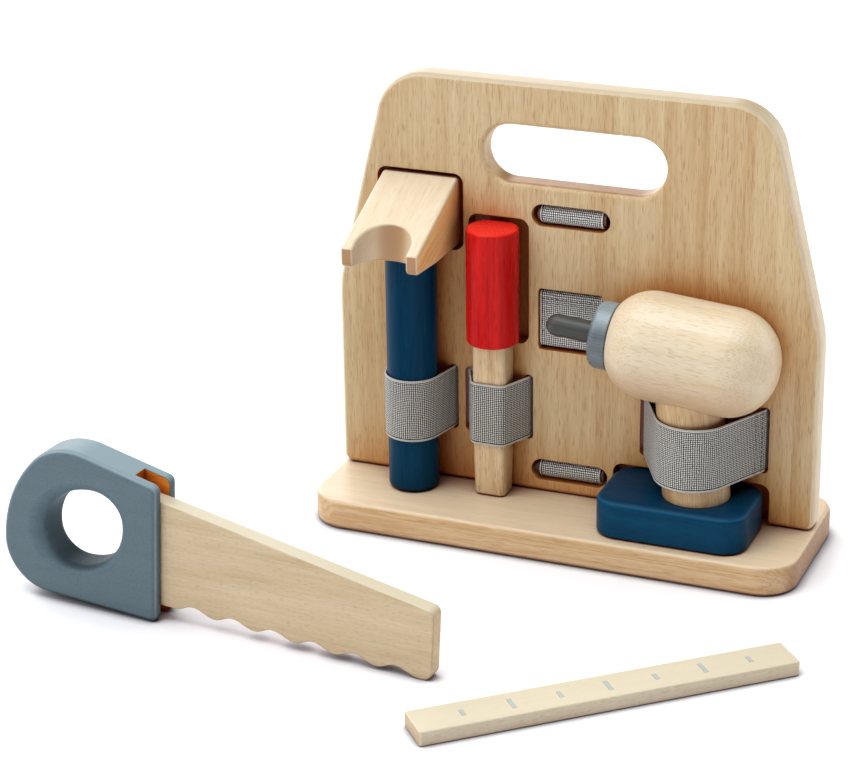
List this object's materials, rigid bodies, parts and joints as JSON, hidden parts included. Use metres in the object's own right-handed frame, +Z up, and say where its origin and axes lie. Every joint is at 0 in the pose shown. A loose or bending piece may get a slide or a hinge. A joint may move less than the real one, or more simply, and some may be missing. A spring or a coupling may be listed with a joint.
{
  "type": "toy tool set",
  "caption": "Wooden toy tool stand with a hammer, a screwdriver and a drill held in elastic bands, and a saw and a ruler lying in front.",
  "frame": {"origin": "centre of the base plate's underside", "axes": "+X along the board to the drill's side, +Y to the back, +Z up"},
  "size_m": [0.393, 0.292, 0.2362],
  "materials": {
    "wood": "satin",
    "pale_wood": "satin",
    "navy_wood": "stained, satin",
    "red_wood": "stained, satin",
    "slate_wood": "stained, satin",
    "charcoal_wood": "stained, satin",
    "elastic": "woven",
    "steel": "zinc plated"
  },
  "bodies": {
    "stand": {"base_plate": "wood", "tool_board": "wood", "stand_screws": "steel", "hammer_band": "elastic", "screwdriver_band": "elastic", "drill_band": "elastic", "rear_strap": "elastic", "upper_toggle": "wood", "lower_toggle": "wood"},
    "hammer": {"hammer_head": "pale_wood", "hammer_handle": "navy_wood"},
    "screwdriver": {"screwdriver_grip": "red_wood", "screwdriver_shaft": "wood"},
    "drill": {"drill_foot": "navy_wood", "drill_handle": "wood", "drill_barrel": "pale_wood", "drill_spindle": "steel"},
    "drill_bit": {"drill_chuck": "slate_wood", "drill_bit": "charcoal_wood"},
    "saw": {"saw_handle": "slate_wood", "saw_blade": "pale_wood"},
    "ruler": {"ruler_body": "pale_wood", "ruler_marks": "slate_wood"}
  },
  "joints": [
    {"name": "hammer_tip", "type": "hinge", "parent": "stand", "child": "hammer", "pos_m": [-0.0825, -0.0244, 0.0163], "axis": [1, 0, 0], "range_deg": [0, 10], "stiffness_Nm_per_rad": 0.55, "deforming": ["hammer_band"]},
    {"name": "screwdriver_tip", "type": "hinge", "parent": "stand", "child": "screwdriver", "pos_m": [-0.0399, -0.0146, 0.0163], "axis": [1, 0, 0], "range_deg": [0, 12], "stiffness_Nm_per_rad": 0.4, "deforming": ["screwdriver_band"]},
    {"name": "drill_pull", "type": "slide", "parent": "stand", "child": "drill", "axis": [0, -1, 0], "range_m": [0, 0.012], "stiffness_N_per_m": 250, "deforming": ["drill_band"]},
    {"name": "bit_spin", "type": "hinge", "parent": "drill", "child": "drill_bit", "pos_m": [0.0665, -0.0188, 0.11241], "axis": [0.9962, 0, -0.0872], "continuous": true},
    {"name": "saw_lift", "type": "slide", "parent": "stand", "child": "saw", "axis": [0, 0, 1], "range_m": [0, 0.15]},
    {"name": "ruler_lift", "type": "slide", "parent": "stand", "child": "ruler", "axis": [0, 0, 1], "range_m": [0, 0.15]}
  ]
}
